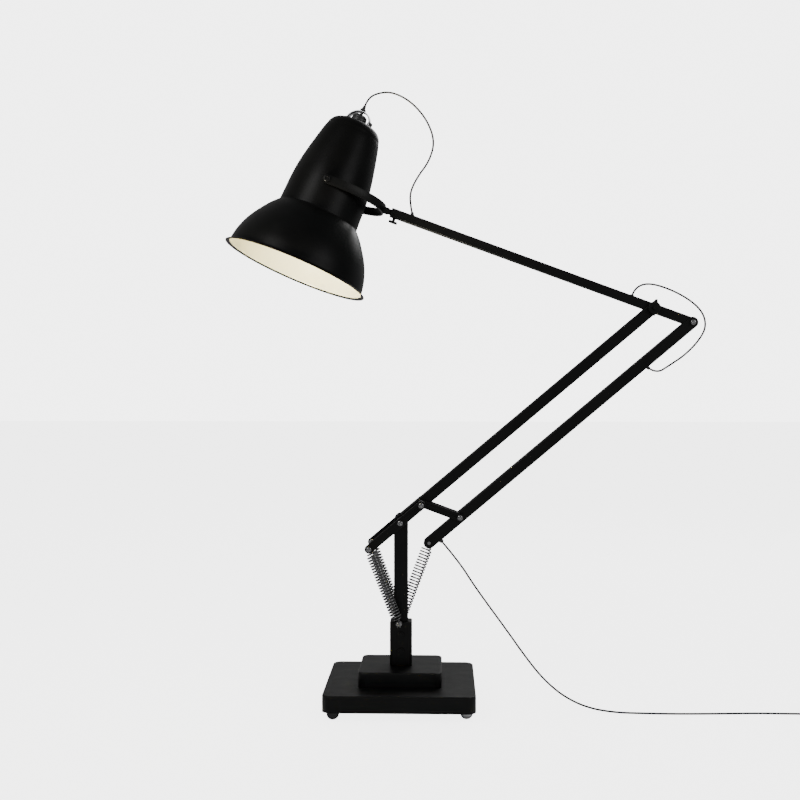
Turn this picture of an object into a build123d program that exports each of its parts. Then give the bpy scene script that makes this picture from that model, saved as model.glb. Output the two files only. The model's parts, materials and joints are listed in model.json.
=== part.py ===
from build123d import *
from math import cos, pi, radians, sin, sqrt, tan
import os

# Giant spring-balanced floor lamp, all sizes in millimetres.
# X points from the mast towards the elbow, Z is up, the arms lie in the XZ plane.

# driving dimensions
BASE_SIZE = 450.0
BASE_BOTTOM = 24.5
BASE_TOP = 74.5
STEP_SIZE = 250.0
STEP_TOP = 119.5
WHEEL_R = 18.5
CASTOR_PITCH = 376.0
BRACKET_BOTTOM = 122.1
BRACKET_TOP = 254.0
POCKET_FLOOR = 140.0
MAST_X = 42.4
MAST_Y = 50.0
MAST_WALL = 4.0
MAST_PIVOT_Z = 562.0
ANCHOR_X = -5.0
ANCHOR_Z = 250.0
LOWER_ANGLE = 40.2
LOWER_LENGTH = 1000.0
TAIL_ANGLE = -20.2
TAIL_LENGTH = 125.0
LINK_UP = 82.0
YOKE_DOWN = 123.0
ARM_END = 846.0
HEAD_PIVOT = 1048.0
SCREW_AT = 831.0
BIG_HALF = 17.0
BIG_WALL = 2.6
SMALL_HALF = 14.0
SMALL_WALL = 2.5
SLOT_DEEP = 65.0
YOKE_IN = 82.0
YOKE_OUT = 88.0
SPRING_R = 16.0
SPRING_WIRE = 4.0
EYE_R = 7.3
TAPER = 24.0
LINK_IN = 17.6
LINK_OUT = 25.6
FORK_ROLL = -6.7
SHADE_TILT = 2.3
PIVOT_S = 268.6
CORD = 6.0
GROMMET = 2.5
HEAD_ENTRY = 781.6
ELBOW_EXIT = 72.6
ELBOW_ENTRY = 850.8
MAINS_EXIT = 32.0

os.makedirs("parts", exist_ok=True)


def along(point, angle, distance):
    """Point reached in the XZ plane from another one, angle up from +X."""
    a = radians(angle)
    return (point[0] + distance * cos(a), point[1] + distance * sin(a))


def side_plane(point, angle=0.0, y=0.0):
    """Sketch plane facing -Y; local x runs along the bar, local y square to it."""
    a = radians(angle)
    return Plane(origin=(point[0], y, point[1]), x_dir=(cos(a), 0, sin(a)), z_dir=(0, -1, 0))


def save(builder, name):
    builder.part.label = name
    export_step(builder.part, "parts/" + name + ".step")


P_M = (0.0, MAST_PIVOT_Z)
P_S = (ANCHOR_X, ANCHOR_Z)
P_E = along(P_M, LOWER_ANGLE, LOWER_LENGTH)
P_L1 = along(P_M, LOWER_ANGLE, LINK_UP)
P_A0 = along(P_M, LOWER_ANGLE, -YOKE_DOWN)
P_T = along(P_E, TAIL_ANGLE, TAIL_LENGTH)
P_L2 = along(P_L1, TAIL_ANGLE, TAIL_LENGTH)
P_B0 = along(P_L2, LOWER_ANGLE, -YOKE_DOWN)
P_H = along(P_E, TAIL_ANGLE, -HEAD_PIVOT)
REAR_LENGTH = LOWER_LENGTH - LINK_UP + YOKE_DOWN
print("pivots", P_E, P_L1, P_A0, P_T, P_L2, P_B0, P_H)

# ---------------------------------------------------------------- base
with BuildPart() as base_plate:
    with BuildSketch(Plane.XY.offset(BASE_BOTTOM)):
        RectangleRounded(BASE_SIZE, BASE_SIZE, 28)
    extrude(amount=BASE_TOP - BASE_BOTTOM)
    fillet(base_plate.faces().sort_by(Axis.Z)[-1].edges(), 4)
    with BuildSketch(Plane.XY.offset(BASE_BOTTOM)):
        RectangleRounded(BASE_SIZE - 14, BASE_SIZE - 14, 21)
    extrude(amount=BASE_TOP - BASE_BOTTOM - 9, mode=Mode.SUBTRACT)
    with BuildSketch(Plane.XY.offset(46)):
        with GridLocations(CASTOR_PITCH, CASTOR_PITCH, 2, 2):
            Circle(14)
    extrude(amount=BASE_TOP - 9 - 46)
    with BuildSketch(Plane.XY.offset(54)):
        Circle(36)
    extrude(amount=BASE_TOP - 9 - 54)
    with BuildSketch(Plane.XY.offset(46)):
        with GridLocations(CASTOR_PITCH, CASTOR_PITCH, 2, 2):
            Circle(8)
    extrude(amount=BASE_TOP - 9 - 46, mode=Mode.SUBTRACT)
    with BuildSketch(Plane.XY.offset(50)):
        Circle(20)
    extrude(amount=30, mode=Mode.SUBTRACT)
    with BuildSketch(Plane.XY.offset(60)):
        with GridLocations(190, 190, 2, 2):
            Circle(4)
    extrude(amount=20, mode=Mode.SUBTRACT)
    with BuildSketch(Plane.XY.offset(60)):
        with GridLocations(240, 240, 2, 2):
            Circle(4)
    extrude(amount=12, mode=Mode.SUBTRACT)

with BuildPart() as base_step:
    with BuildSketch(Plane.XY.offset(BASE_TOP)):
        RectangleRounded(STEP_SIZE, STEP_SIZE, 20)
    extrude(amount=STEP_TOP - BASE_TOP)
    fillet(base_step.faces().sort_by(Axis.Z)[-1].edges(), 6)
    with BuildSketch(Plane.XY.offset(BASE_TOP)):
        RectangleRounded(STEP_SIZE - 18, STEP_SIZE - 18, 11)
    extrude(amount=STEP_TOP - BASE_TOP - 9, mode=Mode.SUBTRACT)
    with BuildSketch(Plane.XY.offset(BASE_TOP)):
        Circle(36)
        with GridLocations(190, 190, 2, 2):
            Circle(12)
    extrude(amount=STEP_TOP - BASE_TOP - 9)
    with BuildSketch(Plane.XY.offset(BASE_TOP)):
        Circle(20)
    extrude(amount=60, mode=Mode.SUBTRACT)
    with BuildSketch(Plane.XY.offset(BASE_TOP)):
        with GridLocations(190, 190, 2, 2):
            Circle(4)
    extrude(amount=26, mode=Mode.SUBTRACT)

with BuildPart() as ballast_plate:
    with BuildSketch(Plane.XY.offset(43.5)):
        Rectangle(300, 300)
        Circle(38, mode=Mode.SUBTRACT)
        with GridLocations(190, 190, 2, 2):
            Circle(12, mode=Mode.SUBTRACT)
        with GridLocations(240, 240, 2, 2):
            Circle(4, mode=Mode.SUBTRACT)
    extrude(amount=22)

with BuildPart() as base_screws:
    with BuildSketch(Plane.XY.offset(59.5)):
        with GridLocations(190, 190, 2, 2):
            Circle(8)
    extrude(amount=6)
    with BuildSketch(Plane.XY.offset(65.5)):
        with GridLocations(190, 190, 2, 2):
            Circle(4)
    extrude(amount=34)
    with BuildSketch(Plane.XY.offset(37.5)):
        with GridLocations(240, 240, 2, 2):
            Circle(8)
    extrude(amount=6)
    with BuildSketch(Plane.XY.offset(43.5)):
        with GridLocations(240, 240, 2, 2):
            Circle(4)
    extrude(amount=28)

with BuildPart() as castor_sockets:
    with BuildSketch(Plane.XY.offset(46)):
        with GridLocations(CASTOR_PITCH, CASTOR_PITCH, 2, 2):
            Circle(8)
            Circle(4.05, mode=Mode.SUBTRACT)
    extrude(amount=19.5)

with BuildPart() as swivel_bush:
    with BuildSketch(Plane.XY.offset(54)):
        Circle(20)
        Circle(15.05, mode=Mode.SUBTRACT)
    extrude(amount=STEP_TOP - 54)
    with BuildSketch(Plane.XY.offset(STEP_TOP)):
        Circle(30)
        Circle(15.05, mode=Mode.SUBTRACT)
    extrude(amount=2.5)

# ---------------------------------------------------------------- mast
with BuildPart() as mast_bracket:
    with BuildSketch(Plane.XY.offset(BRACKET_BOTTOM)):
        RectangleRounded(67, 66, 6)
    extrude(amount=BRACKET_TOP - BRACKET_BOTTOM)
    fillet(mast_bracket.faces().sort_by(Axis.Z)[-1].edges(), 3)
    with BuildSketch(Plane.XY.offset(POCKET_FLOOR)):
        Rectangle(MAST_X + 0.2, MAST_Y + 0.2)
    extrude(amount=120, mode=Mode.SUBTRACT)
    with BuildSketch(Plane.XY.offset(128.1)):
        Circle(21)
    extrude(amount=12, mode=Mode.SUBTRACT)
    with BuildSketch(Plane.XY.offset(BRACKET_BOTTOM)):
        Circle(15)
    extrude(amount=10, mode=Mode.SUBTRACT)
    with BuildSketch(side_plane((0, 0))):
        with Locations((0, 165), (0, 215), P_S):
            Circle(5)
    extrude(amount=60, both=True, mode=Mode.SUBTRACT)

with BuildPart() as mast:
    with BuildSketch(side_plane((0, 0))):
        with BuildLine():
            h = MAST_X / 2
            Polyline((-h, MAST_PIVOT_Z), (-h, POCKET_FLOOR), (h, POCKET_FLOOR), (h, MAST_PIVOT_Z))
            ThreePointArc((h, MAST_PIVOT_Z), (0, MAST_PIVOT_Z + h), (-h, MAST_PIVOT_Z))
        make_face()
    extrude(amount=MAST_Y / 2, both=True)
    fillet(mast.edges().filter_by(Axis.Z).group_by(Axis.X)[0], 5)
    with BuildSketch(Plane(origin=(0, 0, POCKET_FLOOR))):
        with Locations((MAST_WALL / 2 + 5, 0)):
            Rectangle(MAST_X - MAST_WALL + 10, MAST_Y - 2 * MAST_WALL)
    extrude(amount=500, mode=Mode.SUBTRACT)
    with BuildSketch(side_plane((0, 0))):
        with Locations((0, 580)):
            Rectangle(80, 100)
    extrude(amount=MAST_Y / 2 - MAST_WALL, both=True, mode=Mode.SUBTRACT)
    with BuildSketch(side_plane((0, 0))):
        with Locations((0, MAST_PIVOT_Z)):
            Circle(6.05)
        with Locations((0, 165), (0, 215), P_S):
            Circle(5)
    extrude(amount=60, both=True, mode=Mode.SUBTRACT)

with BuildPart() as swivel_spindle:
    with BuildSketch(Plane.XY.offset(36)):
        Circle(15)
    extrude(amount=94)
    with BuildSketch(Plane.XY.offset(128.1)):
        Circle(21)
    extrude(amount=6)

with BuildPart() as spindle_nut:
    with BuildSketch(Plane.XY.offset(42)):
        RegularPolygon(23, 6, major_radius=False)
        Circle(15, mode=Mode.SUBTRACT)
    extrude(amount=10.5)
    with BuildSketch(Plane.XY.offset(52.5)):
        Circle(26)
        Circle(15, mode=Mode.SUBTRACT)
    extrude(amount=1.4)

with BuildPart() as bracket_bolts:
    with BuildSketch(side_plane((0, 0))):
        with Locations((0, 165), (0, 215)):
            Circle(5)
    extrude(amount=37, both=True)
    with BuildSketch(side_plane((0, 0), 0, -33)):
        with Locations((0, 165), (0, 215)):
            Circle(9)
    extrude(amount=6)
    with BuildSketch(side_plane((0, 0), 0, 39)):
        with Locations((0, 165), (0, 215)):
            RegularPolygon(8, 6, major_radius=False)
    extrude(amount=6)

with BuildPart() as spring_anchor_shaft:
    with BuildSketch(side_plane(P_S)):
        Circle(5)
    extrude(amount=57, both=True)
    with BuildSketch(side_plane(P_S, 0, -33), side_plane(P_S, 0, 35)):
        Circle(7)
        Circle(5, mode=Mode.SUBTRACT)
    extrude(amount=2)
    with BuildSketch(side_plane(P_S, 0, -49.2), side_plane(P_S, 0, 55.7)):
        RegularPolygon(7.5, 6, major_radius=False)
    extrude(amount=6.5)


# ---------------------------------------------------------------- springs
def make_spring(length):
    """Tension spring along +Z, rings round the Y axis centred on z 0 and z length."""
    body = length / 2 - TAPER
    drop = TAPER - 8.3
    with BuildPart() as end_turns:
        with BuildLine():
            low = Helix(pitch=drop / 2, height=drop, radius=SPRING_R, center=(0, 0, TAPER),
                        direction=(0, 0, -1), cone_angle=-38)
        with BuildSketch(Plane(origin=low @ 0, z_dir=low % 0)):
            Circle(SPRING_WIRE / 2)
        sweep(is_frenet=True)
    with BuildPart() as half:
        with BuildLine():
            mid = Helix(pitch=body / 9, height=body, radius=SPRING_R, center=(0, 0, TAPER))
        with BuildSketch(Plane(origin=mid @ 0, z_dir=mid % 0)):
            Circle(SPRING_WIRE / 2)
        sweep(is_frenet=True)
        add(end_turns.part.rotate(Axis.Z, 180))
        with BuildSketch(Plane.XY):
            with Locations((EYE_R, 0)):
                Circle(SPRING_WIRE / 2)
        revolve(axis=Axis.Y)
    with BuildPart() as whole:
        add(half.part)
        add(half.part.rotate(Axis((0, 0, length / 2), (1, 0, 0)), 180))
    return whole.part


def place_spring(top, bottom):
    rise = Vector(*top) - Vector(*bottom)
    frame = Plane(origin=bottom, x_dir=(rise.Z, 0, -rise.X), z_dir=rise.normalized())
    return make_spring(rise.length).moved(frame.location)


with BuildPart() as spring_near:
    add(place_spring((P_A0[0], -62, P_A0[1]), (P_S[0], -42, P_S[1])))

with BuildPart() as spring_far:
    add(place_spring((P_A0[0], 62, P_A0[1]), (P_S[0], 42, P_S[1])))

with BuildPart() as spring_rear:
    add(place_spring((P_B0[0], 0, P_B0[1]), (P_S[0], 0, P_S[1])))

# ---------------------------------------------------------------- lower arm
with BuildPart() as lower_arm_tube:
    with BuildSketch(side_plane(P_M, LOWER_ANGLE)):
        with Locations((LOWER_LENGTH / 2, 0)):
            SlotCenterToCenter(LOWER_LENGTH, 2 * BIG_HALF)
    extrude(amount=BIG_HALF, both=True)
    fillet(lower_arm_tube.faces().filter_by(Axis.Y).edges(), 4)
    with BuildSketch(side_plane(P_M, LOWER_ANGLE)):
        with Locations((LOWER_LENGTH / 2, 0)):
            Rectangle(LOWER_LENGTH + 60, 2 * (BIG_HALF - BIG_WALL))
        with Locations((LOWER_LENGTH + 30 - SLOT_DEEP / 2, 0)):
            Rectangle(SLOT_DEEP + 60, 60)
        with Locations((-18, 0)):
            Rectangle(60, 60)
    extrude(amount=BIG_HALF - BIG_WALL, both=True, mode=Mode.SUBTRACT)
    with BuildSketch(side_plane(P_M, LOWER_ANGLE)):
        with Locations((0, 0), (LINK_UP, 0), (LOWER_LENGTH, 0)):
            Circle(6)
    extrude(amount=40, both=True, mode=Mode.SUBTRACT)

with BuildPart() as yoke_plates:
    with BuildSketch(side_plane(P_M, LOWER_ANGLE)):
        with Locations(((LINK_UP - YOKE_DOWN) / 2, 0)):
            SlotCenterToCenter(LINK_UP + YOKE_DOWN, 26)
    extrude(amount=YOKE_OUT, both=True)
    fillet(yoke_plates.faces().filter_by(Axis.Y).edges(), 1.5)
    with BuildSketch(side_plane(P_M, LOWER_ANGLE)):
        Rectangle(400, 60)
    extrude(amount=YOKE_IN, both=True, mode=Mode.SUBTRACT)
    with BuildSketch(side_plane(P_M, LOWER_ANGLE)):
        with Locations((0, 0), (LINK_UP, 0)):
            Circle(6)
        with Locations((-YOKE_DOWN, 0)):
            Circle(5)
    extrude(amount=120, both=True, mode=Mode.SUBTRACT)

with BuildPart() as mast_pivot_shaft:
    with BuildSketch(side_plane(P_M)):
        Circle(6)
    extrude(amount=YOKE_OUT, both=True)
    with BuildSketch(side_plane(P_M, 0, -YOKE_OUT), side_plane(P_M, 0, YOKE_OUT + 7)):
        Circle(8.5)
    extrude(amount=7)

with BuildPart() as link_pivot_shaft:
    with BuildSketch(side_plane(P_L1)):
        Circle(6)
    extrude(amount=YOKE_OUT, both=True)
    with BuildSketch(side_plane(P_L1, 0, -YOKE_OUT), side_plane(P_L1, 0, YOKE_OUT + 7)):
        Circle(8.5)
    extrude(amount=7)

with BuildPart() as spring_pins:
    with BuildSketch(side_plane(P_A0, 0, -50.5), side_plane(P_A0, 0, YOKE_OUT)):
        Circle(5)
    extrude(amount=YOKE_OUT - 50.5)
    with BuildSketch(side_plane(P_A0, 0, -YOKE_OUT), side_plane(P_A0, 0, YOKE_OUT + 7)):
        Circle(8.5)
    extrude(amount=7)
    with BuildSketch(side_plane(P_A0, 0, -50.5), side_plane(P_A0, 0, 54.5)):
        Circle(8)
    extrude(amount=4)

with BuildPart() as yoke_spacers:
    with BuildSketch(side_plane(P_M, 0, -25.2), side_plane(P_M, 0, YOKE_IN)):
        Circle(11)
        Circle(6, mode=Mode.SUBTRACT)
    extrude(amount=YOKE_IN - 25.2)
    with BuildSketch(side_plane(P_M, 0, -BIG_HALF), side_plane(P_M, 0, 20.8)):
        Circle(14)
        Circle(6, mode=Mode.SUBTRACT)
    extrude(amount=20.8 - BIG_HALF)
    with BuildSketch(side_plane(P_L1, 0, -26.2), side_plane(P_L1, 0, YOKE_IN)):
        Circle(10)
        Circle(6, mode=Mode.SUBTRACT)
    extrude(amount=YOKE_IN - 26.2)
    with BuildSketch(side_plane(P_A0, 0, -69), side_plane(P_A0, 0, YOKE_IN)):
        Circle(9)
        Circle(5, mode=Mode.SUBTRACT)
    extrude(amount=YOKE_IN - 69)

with BuildPart() as elbow_bolt:
    with BuildSketch(side_plane(P_E, 0, 24)):
        Circle(6)
    extrude(amount=62)
    with BuildSketch(side_plane(P_E, 0, 24)):
        RegularPolygon(9.5, 6, major_radius=False)
    extrude(amount=7)
    with BuildSketch(side_plane(P_E, 0, -BIG_HALF)):
        Circle(15)
        Circle(6, mode=Mode.SUBTRACT)
    extrude(amount=2)

# wing nut: round body with a tall flared ear and a short one below
with BuildPart() as elbow_wing_nut:
    with BuildSketch(side_plane(P_E, 0, -19.1)):
        Circle(19)
    extrude(amount=12)
    fillet(elbow_wing_nut.faces().sort_by(Axis.Y)[0].edges(), 3)
    with BuildSketch(side_plane(P_E, 0, -19.1)):
        with Locations((5, 15)):
            Trapezoid(16, 22, 76, rotation=-12)
        with Locations((-2, -16)):
            Trapezoid(16, 15, 76, rotation=172)
    extrude(amount=8)
    with BuildSketch(side_plane(P_E, 0, -19.1)):
        Circle(6.05)
    extrude(amount=19, mode=Mode.SUBTRACT)

# ---------------------------------------------------------------- upper arm
with BuildPart() as upper_arm_tube:
    with BuildSketch(side_plane(P_E, TAIL_ANGLE)):
        with BuildLine():
            Polyline((TAIL_LENGTH, SMALL_HALF), (-ARM_END, SMALL_HALF),
                     (-ARM_END, -SMALL_HALF), (TAIL_LENGTH, -SMALL_HALF))
            ThreePointArc((TAIL_LENGTH, -SMALL_HALF), (TAIL_LENGTH + SMALL_HALF, 0),
                          (TAIL_LENGTH, SMALL_HALF))
        make_face()
    extrude(amount=SMALL_HALF, both=True)
    fillet(upper_arm_tube.faces().filter_by(Axis.Y).edges().filter_by(
        lambda e: e.length > 30), 3.5)
    with BuildSketch(side_plane(P_E, TAIL_ANGLE)):
        with Locations((-300, 0)):
            Rectangle(2 * ARM_END - 500, 2 * (SMALL_HALF - SMALL_WALL))
    extrude(amount=SMALL_HALF - SMALL_WALL, both=True, mode=Mode.SUBTRACT)
    with BuildSketch(side_plane(P_E, TAIL_ANGLE)):
        Circle(9)
        with Locations((TAIL_LENGTH, 0)):
            Circle(8)
    extrude(amount=30, both=True, mode=Mode.SUBTRACT)

with BuildPart() as upper_arm_bushes:
    with BuildSketch(side_plane(P_E)):
        Circle(9)
        Circle(6.05, mode=Mode.SUBTRACT)
    extrude(amount=SMALL_HALF, both=True)
    with BuildSketch(side_plane(P_T)):
        Circle(8)
        Circle(5.05, mode=Mode.SUBTRACT)
    extrude(amount=SMALL_HALF, both=True)


with BuildPart() as upper_arm_plug:
    with BuildSketch(side_plane(P_E, TAIL_ANGLE)):
        with Locations((-ARM_END + 22.5, 0)):
            Rectangle(45, 2 * (SMALL_HALF - SMALL_WALL))
    extrude(amount=SMALL_HALF - SMALL_WALL, both=True)
    with BuildSketch(Plane(origin=(P_E[0], 0, P_E[1]), z_dir=side_plane(P_E, TAIL_ANGLE).x_dir).offset(
            -ARM_END)):
        Circle(6.05)
    extrude(amount=42, mode=Mode.SUBTRACT)

TOP_DIR = side_plane(P_E, TAIL_ANGLE).y_dir
ARM_DIR = side_plane(P_E, TAIL_ANGLE).x_dir
ELBOW = Vector(P_E[0], 0, P_E[1])


def arm_top(distance, height):
    """Point over the upper arm, measured from the elbow towards the lamp head."""
    return ELBOW - ARM_DIR * distance + TOP_DIR * height


with BuildPart() as screw_hole:
    with BuildSketch(Plane(origin=arm_top(SCREW_AT, 0), z_dir=TOP_DIR * -1)):
        Circle(4.55)
    extrude(amount=30)

HEAD_GLAND = Vector(-0.2, 0, 0.98)

with BuildPart() as head_cable_hole:
    with BuildSketch(Plane(origin=arm_top(HEAD_ENTRY, SMALL_HALF) - HEAD_GLAND * 8, z_dir=HEAD_GLAND)):
        Circle(5)
    extrude(amount=20)

with BuildPart() as elbow_cable_hole:
    with BuildSketch(Plane(origin=arm_top(ELBOW_EXIT, 5), z_dir=TOP_DIR)):
        Circle(5)
    extrude(amount=20)

with BuildPart() as upper_tube:
    add(upper_arm_tube.part)
    add(screw_hole.part, mode=Mode.SUBTRACT)
    add(head_cable_hole.part, mode=Mode.SUBTRACT)
    add(elbow_cable_hole.part, mode=Mode.SUBTRACT)
upper_arm_tube = upper_tube

with BuildPart() as upper_plug:
    add(upper_arm_plug.part)
    add(screw_hole.part, mode=Mode.SUBTRACT)
upper_arm_plug = upper_plug

with BuildPart() as upper_arm_grommets:
    with BuildSketch(Plane(origin=arm_top(HEAD_ENTRY, SMALL_HALF) - HEAD_GLAND * 6, z_dir=HEAD_GLAND)):
        Circle(5)
    extrude(amount=15)
    with BuildSketch(Plane(origin=arm_top(ELBOW_EXIT, 9), z_dir=TOP_DIR)):
        Circle(5)
    extrude(amount=5)
    with BuildSketch(Plane(origin=arm_top(ELBOW_EXIT, SMALL_HALF), z_dir=TOP_DIR)):
        Circle(7)
    extrude(amount=GROMMET, taper=20)

with BuildPart() as thumb_screw:
    with BuildSketch(Plane(origin=arm_top(SCREW_AT, -6.2), z_dir=TOP_DIR * -1)):
        Circle(4.5)
    extrude(amount=16.8)
    with BuildSketch(Plane(origin=arm_top(SCREW_AT, -23), z_dir=TOP_DIR * -1)):
        Circle(13.5)
        with PolarLocations(14.6, 18):
            Circle(1.6, mode=Mode.SUBTRACT)
    extrude(amount=6.5)

# ---------------------------------------------------------------- rear bar and link
REAR_DIR = side_plane(P_B0, LOWER_ANGLE).x_dir
REAR_UP = side_plane(P_B0, LOWER_ANGLE).y_dir
REAR_FOOT = Vector(P_B0[0], 0, P_B0[1])


def under_bar(distance, depth):
    """Point below the rear bar, measured from its lower pin."""
    return REAR_FOOT + REAR_DIR * distance - REAR_UP * depth


GLAND_AXIS = Vector(cos(radians(-31)), 0, sin(radians(-31)))

with BuildPart() as rear_bar_tube:
    with BuildSketch(side_plane(P_B0, LOWER_ANGLE)):
        with Locations((REAR_LENGTH / 2, 0)):
            SlotCenterToCenter(REAR_LENGTH, 2 * BIG_HALF)
    extrude(amount=BIG_HALF, both=True)
    fillet(rear_bar_tube.faces().filter_by(Axis.Y).edges(), 4)
    with BuildSketch(side_plane(P_B0, LOWER_ANGLE)):
        with Locations((REAR_LENGTH / 2, 0)):
            Rectangle(REAR_LENGTH + 60, 2 * (BIG_HALF - BIG_WALL))
        with Locations((REAR_LENGTH + 30 - SLOT_DEEP / 2, 0)):
            Rectangle(SLOT_DEEP + 60, 60)
    extrude(amount=BIG_HALF - BIG_WALL, both=True, mode=Mode.SUBTRACT)
    with BuildSketch(side_plane(P_B0, LOWER_ANGLE)):
        with Locations((-5, 0)):
            Rectangle(50, 60)
    extrude(amount=7, both=True, mode=Mode.SUBTRACT)
    with BuildSketch(side_plane(P_B0, LOWER_ANGLE)):
        with Locations((0, 0), (YOKE_DOWN, 0), (REAR_LENGTH, 0)):
            Circle(5)
    extrude(amount=40, both=True, mode=Mode.SUBTRACT)
    with BuildSketch(Plane(origin=under_bar(MAINS_EXIT, 5), z_dir=REAR_UP * -1),
                     Plane(origin=under_bar(ELBOW_ENTRY, 17) - GLAND_AXIS * 10, z_dir=GLAND_AXIS)):
        Circle(5)
    extrude(amount=20, mode=Mode.SUBTRACT)

with BuildPart() as rear_bar_grommets:
    with BuildSketch(Plane(origin=under_bar(MAINS_EXIT, 12), z_dir=REAR_UP * -1)):
        Circle(5)
    extrude(amount=6)
    with BuildSketch(Plane(origin=under_bar(MAINS_EXIT, 17), z_dir=REAR_UP * -1)):
        Circle(7.5)
    extrude(amount=8, taper=12)
    with BuildSketch(Plane(origin=under_bar(ELBOW_ENTRY, 17) - GLAND_AXIS * 6, z_dir=GLAND_AXIS)):
        Circle(5)
    extrude(amount=14)

with BuildPart() as tail_pivot_bolt:
    with BuildSketch(side_plane(P_T)):
        Circle(5)
    extrude(amount=20, both=True)
    with BuildSketch(side_plane(P_T, 0, -BIG_HALF), side_plane(P_T, 0, BIG_HALF + 6)):
        Circle(8.5)
    extrude(amount=6)

with BuildPart() as link_end_bolt:
    with BuildSketch(side_plane(P_L2)):
        Circle(5)
    extrude(amount=30, both=True)
    with BuildSketch(side_plane(P_L2, 0, -26), side_plane(P_L2, 0, 32)):
        Circle(8.5)
    extrude(amount=6)

with BuildPart() as rear_spring_pin:
    with BuildSketch(side_plane(P_B0)):
        Circle(5)
    extrude(amount=BIG_HALF, both=True)
    with BuildSketch(side_plane(P_B0, 0, -6), side_plane(P_B0, 0, 14.4)):
        Circle(7.5)
    extrude(amount=8.4)

with BuildPart() as link_plates:
    with BuildSketch(side_plane(P_L1, TAIL_ANGLE)):
        with Locations((TAIL_LENGTH / 2, 0)):
            SlotCenterToCenter(TAIL_LENGTH, 24)
    extrude(amount=LINK_OUT, both=True)
    fillet(link_plates.faces().filter_by(Axis.Y).edges(), 1.2)
    with BuildSketch(side_plane(P_L1, TAIL_ANGLE)):
        Rectangle(400, 60)
    extrude(amount=LINK_IN, both=True, mode=Mode.SUBTRACT)
    with BuildSketch(side_plane(P_L1, TAIL_ANGLE)):
        Circle(6.4)
        with Locations((TAIL_LENGTH, 0)):
            Circle(5.05)
    extrude(amount=60, both=True, mode=Mode.SUBTRACT)

# ---------------------------------------------------------------- lamp head
HEAD = Vector(P_H[0], 0, P_H[1])
ROLL = radians(FORK_ROLL)
FORK_UP = TOP_DIR * cos(ROLL) + Vector(0, 1, 0) * -sin(ROLL)
FORK_SIDE = FORK_UP.cross(ARM_DIR)
TILT = radians(SHADE_TILT)
SHADE_UP = FORK_UP * cos(TILT) + ARM_DIR * sin(TILT)
SHADE_OUT = ARM_DIR * cos(TILT) - FORK_UP * sin(TILT)
FORK_PLANE = Plane(origin=HEAD, x_dir=ARM_DIR, z_dir=FORK_UP)
SHADE_PLANE = Plane(origin=HEAD - SHADE_UP * PIVOT_S, x_dir=SHADE_OUT,
                    z_dir=SHADE_OUT.cross(SHADE_UP))
SHADE_AXIS = Axis(HEAD, SHADE_UP)
print("fork side", FORK_SIDE, "shade up", SHADE_UP, "roll axis", ARM_DIR)


def on_axis(height, offset=0.0):
    """Plane square to the shade's axis, height measured from the rim."""
    origin = HEAD + SHADE_UP * (height - PIVOT_S) + SHADE_OUT * offset
    return Plane(origin=origin, x_dir=SHADE_OUT, z_dir=SHADE_UP)


with BuildPart() as head_fork:
    with BuildSketch(FORK_PLANE):
        Ellipse(181, 132)
        Ellipse(175, 126, mode=Mode.SUBTRACT)
        with Locations((-100, 0)):
            Rectangle(200, 300, mode=Mode.SUBTRACT)
        with Locations((-6.5, 129), (-6.5, -129)):
            Rectangle(13, 6)
    extrude(amount=13, both=True)
    tips = head_fork.edges().filter_by(lambda e: (e.center() - HEAD).dot(ARM_DIR) < -12.9)
    fillet(tips.filter_by(lambda e: e.length < 6.5), 12.9)
    with BuildSketch(Plane(origin=HEAD + ARM_DIR * 177, z_dir=ARM_DIR)):
        Circle(11)
    extrude(amount=16)
    with BuildSketch(Plane(origin=HEAD + ARM_DIR * 190, z_dir=ARM_DIR)):
        Circle(9)
    extrude(amount=11)
    with BuildSketch(Plane(origin=HEAD + ARM_DIR * 195, z_dir=ARM_DIR)):
        Circle(6)
    extrude(amount=45)
    with BuildSketch(Plane(origin=HEAD, z_dir=FORK_SIDE)):
        Circle(4)
    extrude(amount=150, both=True, mode=Mode.SUBTRACT)


def pin_plane(side, distance):
    return Plane(origin=HEAD + FORK_SIDE * side * distance, x_dir=ARM_DIR, z_dir=FORK_SIDE * side)


with BuildPart() as fork_pivot_screws:
    with BuildSketch(pin_plane(1, 111), pin_plane(-1, 111)):
        Circle(4)
    extrude(amount=24)
    with BuildSketch(pin_plane(1, 132), pin_plane(-1, 132)):
        Circle(9)
    extrude(amount=8)
    with BuildSketch(pin_plane(1, 123.6), pin_plane(-1, 123.6)):
        Circle(9)
    extrude(amount=2.1)
    with BuildSketch(pin_plane(1, 112), pin_plane(-1, 112)):
        RegularPolygon(6.5, 6, major_radius=False)
    extrude(amount=5)


def wall(points, inset):
    """Same outline moved inwards by the given wall."""
    moved = []
    for i, p in enumerate(points):
        a = points[max(i - 1, 0)]
        b = points[min(i + 1, len(points) - 1)]
        n = sqrt((b[0] - a[0]) ** 2 + (b[1] - a[1]) ** 2)
        moved.append((p[0] - inset * (b[1] - a[1]) / n, p[1] + inset * (b[0] - a[0]) / n))
    return moved


BELL = [(216, 6), (208, 49), (189, 97), (154, 151), (126.5, 182)]
NECK = [(126.5, 182), (125, 212), (121.5, 282), (112, 346), (92.6, 433), (85.6, 456)]
SHOULDER = [(85.6, 456), (81.6, 468), (73, 480), (60, 487.5), (44, 492), (30, 494)]

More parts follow.
